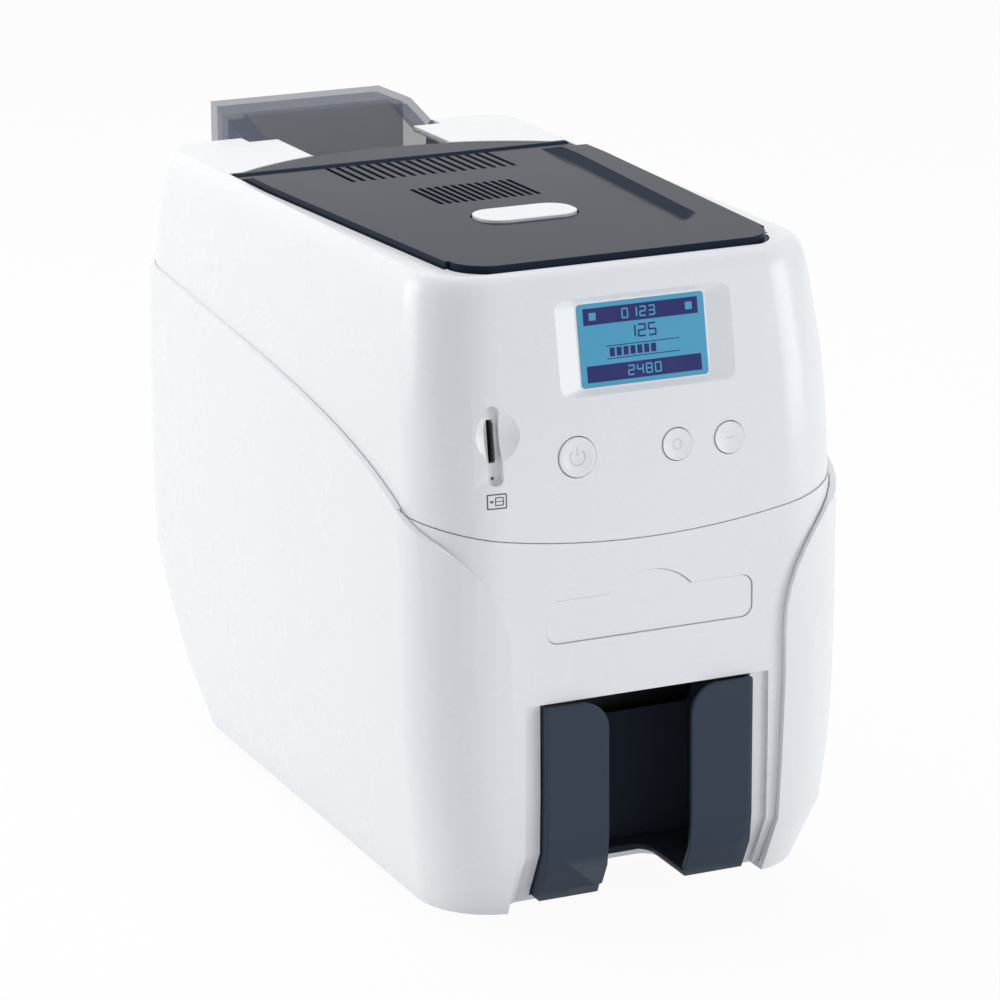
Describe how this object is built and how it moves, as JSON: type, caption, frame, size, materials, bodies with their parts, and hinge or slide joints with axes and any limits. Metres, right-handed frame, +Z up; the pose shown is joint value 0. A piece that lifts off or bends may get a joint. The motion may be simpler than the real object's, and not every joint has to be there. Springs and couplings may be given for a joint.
{
  "type": "id card printer",
  "caption": "Desktop plastic card printer with smoked top cover, rear card hopper, front card tray, display and buttons.",
  "frame": {"origin": "centre of the footprint on the table, under the body", "axes": "+Z up, the front faces -Y, +X to the right seen from the front"},
  "size_m": [0.191, 0.374, 0.2682],
  "materials": {
    "white_shell": "satin",
    "smoked_plastic": "gloss",
    "blue_display": "gloss",
    "sheet_steel": "satin",
    "bright_steel": "polished",
    "black_rubber": "matte",
    "belt_rubber": "matte",
    "black_plastic": "matte",
    "grey_plastic": "matte",
    "dark_rubber": "matte",
    "blue_roller": "gloss",
    "pale_plastic": "satin",
    "blue_film": "gloss",
    "red_film": "gloss",
    "head_metal": "satin",
    "motor_metal": "satin",
    "brass": "satin",
    "green_board": "satin",
    "card_plastic": "matte"
  },
  "bodies": {
    "chassis": {"left_side_panel": "white_shell", "right_side_panel": "white_shell", "front_panel": "white_shell", "feed_slot_cover": "white_shell", "rear_panel": "white_shell", "upper_housing": "white_shell", "display_window": "blue_display", "base_pan": "sheet_steel", "left_frame_plate": "sheet_steel", "right_frame_plate": "sheet_steel", "drive_bracket": "sheet_steel", "cross_bars": "bright_steel", "screws": "bright_steel", "rubber_feet": "black_rubber", "feed_belt": "belt_rubber", "chip_socket": "black_plastic", "hopper_seat": "black_plastic", "track_guides": "black_plastic", "io_sockets": "black_plastic", "cooling_fan": "black_plastic", "ribbon_cassette": "black_plastic", "ribbon_film": "red_film", "ribbon_motor": "motor_metal", "feed_motor": "motor_metal", "main_board": "green_board", "control_board": "green_board"},
    "cover": {"top_cover": "smoked_plastic"},
    "cover_button": {"release_button": "white_shell"},
    "latch": {"cover_latch": "black_plastic"},
    "power_key": {"power_button": "white_shell"},
    "left_key": {"left_key_button": "white_shell"},
    "right_key": {"right_key_button": "white_shell"},
    "chip": {"chip_card": "card_plastic"},
    "card_tray": {"output_hopper": "smoked_plastic"},
    "card_hopper": {"input_hopper": "smoked_plastic"},
    "pick_roller": {"pick_shaft": "bright_steel", "pick_rubber": "black_rubber"},
    "feed_roller": {"feed_shaft": "bright_steel", "feed_rubber": "black_rubber"},
    "entry_roller": {"entry_shaft": "bright_steel", "entry_rubber": "black_rubber"},
    "platen": {"platen_shaft": "bright_steel", "platen_rubber": "black_rubber"},
    "exit_roller": {"exit_shaft": "bright_steel", "exit_rubber": "black_rubber"},
    "cleaner": {"cleaning_roller": "blue_roller"},
    "entry_nip": {"entry_pinch": "grey_plastic"},
    "exit_nip": {"exit_pinch": "grey_plastic"},
    "turner": {"turner_cage": "grey_plastic"},
    "turner_drive": {"turner_roller": "dark_rubber"},
    "head": {"head_arm": "sheet_steel", "print_head": "head_metal"},
    "cam": {"head_cam": "pale_plastic"},
    "supply": {"supply_spool": "blue_film"},
    "takeup": {"takeup_spool": "black_plastic", "takeup_hub": "pale_plastic"},
    "pinion": {"ribbon_pinion": "brass"},
    "motor_gear": {"motor_pulley": "brass"},
    "fan": {"fan_impeller": "black_plastic"},
    "rocker": {"power_switch": "black_plastic"}
  },
  "joints": [
    {"name": "cover_hinge", "type": "hinge", "parent": "chassis", "child": "cover", "pos_m": [0, 0.061, 0.25884], "axis": [-1, 0, 0], "range_deg": [0, 80]},
    {"name": "cover_button_press", "type": "slide", "parent": "cover", "child": "cover_button", "axis": [0, -0.0157, -0.9999], "range_m": [0, 0.0025], "stiffness_N_per_m": 700, "springref_m": -0.001},
    {"name": "latch_turn", "type": "hinge", "parent": "cover", "child": "latch", "pos_m": [0, -0.08218, 0.25209], "axis": [-1, 0, 0], "range_deg": [0, 12]},
    {"name": "power_press", "type": "slide", "parent": "chassis", "child": "power_key", "axis": [0, 0.993, -0.1184], "range_m": [0, 0.001], "stiffness_N_per_m": 800, "springref_m": -0.0006},
    {"name": "left_key_press", "type": "slide", "parent": "chassis", "child": "left_key", "axis": [0, 0.993, -0.1184], "range_m": [0, 0.001], "stiffness_N_per_m": 800, "springref_m": -0.0006},
    {"name": "right_key_press", "type": "slide", "parent": "chassis", "child": "right_key", "axis": [0, 0.993, -0.1184], "range_m": [0, 0.001], "stiffness_N_per_m": 800, "springref_m": -0.0006},
    {"name": "chip_card_pull", "type": "slide", "parent": "chassis", "child": "chip", "axis": [0, -0.9893, 0.1461], "range_m": [0, 0.03]},
    {"name": "card_tray_pull", "type": "slide", "parent": "chassis", "child": "card_tray", "axis": [0, -1, 0], "range_m": [0, 0.07]},
    {"name": "card_hopper_lift", "type": "slide", "parent": "chassis", "child": "card_hopper", "axis": [0, 0, 1], "range_m": [0, 0.16]},
    {"name": "platen_turn", "type": "hinge", "parent": "chassis", "child": "platen", "pos_m": [0, 0, 0.122], "axis": [1, 0, 0], "continuous": true},
    {"name": "pick_turn", "type": "hinge", "parent": "chassis", "child": "pick_roller", "pos_m": [0, 0.122, 0.122], "axis": [1, 0, 0], "continuous": true},
    {"name": "feed_turn", "type": "hinge", "parent": "chassis", "child": "feed_roller", "pos_m": [0, 0.086, 0.122], "axis": [1, 0, 0], "continuous": true},
    {"name": "entry_turn", "type": "hinge", "parent": "chassis", "child": "entry_roller", "pos_m": [0, 0.045, 0.122], "axis": [1, 0, 0], "continuous": true},
    {"name": "exit_turn", "type": "hinge", "parent": "chassis", "child": "exit_roller", "pos_m": [0, -0.042, 0.122], "axis": [1, 0, 0], "continuous": true},
    {"name": "cleaner_turn", "type": "hinge", "parent": "chassis", "child": "cleaner", "pos_m": [0, 0.086, 0.1381], "axis": [1, 0, 0], "continuous": true},
    {"name": "entry_nip_turn", "type": "hinge", "parent": "chassis", "child": "entry_nip", "pos_m": [0, 0.045, 0.1372], "axis": [1, 0, 0], "continuous": true},
    {"name": "exit_nip_turn", "type": "hinge", "parent": "chassis", "child": "exit_nip", "pos_m": [0, -0.042, 0.1372], "axis": [1, 0, 0], "continuous": true},
    {"name": "motor_turn", "type": "hinge", "parent": "chassis", "child": "motor_gear", "pos_m": [0.07, 0.028, 0.084], "axis": [1, 0, 0], "continuous": true},
    {"name": "turner_flip", "type": "hinge", "parent": "chassis", "child": "turner", "pos_m": [0, -0.09, 0.1304], "axis": [1, 0, 0], "range_deg": [-180, 180]},
    {"name": "turner_feed", "type": "hinge", "parent": "turner", "child": "turner_drive", "pos_m": [0, -0.09, 0.1238], "axis": [1, 0, 0], "continuous": true},
    {"name": "head_lift", "type": "hinge", "parent": "chassis", "child": "head", "pos_m": [0, 0.066, 0.154], "axis": [-1, 0, 0], "range_deg": [0, 5]},
    {"name": "cam_turn", "type": "hinge", "parent": "chassis", "child": "cam", "pos_m": [0, 0.016, 0.181], "axis": [-1, 0, 0], "range_deg": [0, 140]},
    {"name": "takeup_turn", "type": "hinge", "parent": "chassis", "child": "takeup", "pos_m": [0, -0.044, 0.174], "axis": [1, 0, 0], "continuous": true},
    {"name": "supply_turn", "type": "hinge", "parent": "chassis", "child": "supply", "pos_m": [0, 0.042, 0.174], "axis": [1, 0, 0], "continuous": true},
    {"name": "pinion_turn", "type": "hinge", "parent": "chassis", "child": "pinion", "pos_m": [0.062, -0.06505, 0.16634], "axis": [1, 0, 0], "continuous": true},
    {"name": "fan_turn", "type": "hinge", "parent": "chassis", "child": "fan", "pos_m": [0.038, 0.14, 0.103], "axis": [0, 1, 0], "continuous": true},
    {"name": "rocker_tilt", "type": "hinge", "parent": "chassis", "child": "rocker", "pos_m": [-0.042, 0.145, 0.103], "axis": [1, 0, 0], "range_deg": [0, 14]}
  ],
  "couplings": [
    {"joint": "latch_turn", "follows": "cover_button_press", "rad_per_m": 83.8},
    {"joint": "pick_turn", "follows": "platen_turn", "ratio": 1},
    {"joint": "feed_turn", "follows": "platen_turn", "ratio": 1},
    {"joint": "entry_turn", "follows": "platen_turn", "ratio": 1},
    {"joint": "exit_turn", "follows": "platen_turn", "ratio": 1},
    {"joint": "motor_turn", "follows": "platen_turn", "ratio": 1},
    {"joint": "cleaner_turn", "follows": "platen_turn", "ratio": -1.1429},
    {"joint": "entry_nip_turn", "follows": "platen_turn", "ratio": -1.3333},
    {"joint": "exit_nip_turn", "follows": "platen_turn", "ratio": -1.3333},
    {"joint": "cam_turn", "follows": "head_lift", "ratio": 28},
    {"joint": "pinion_turn", "follows": "takeup_turn", "ratio": -3}
  ]
}
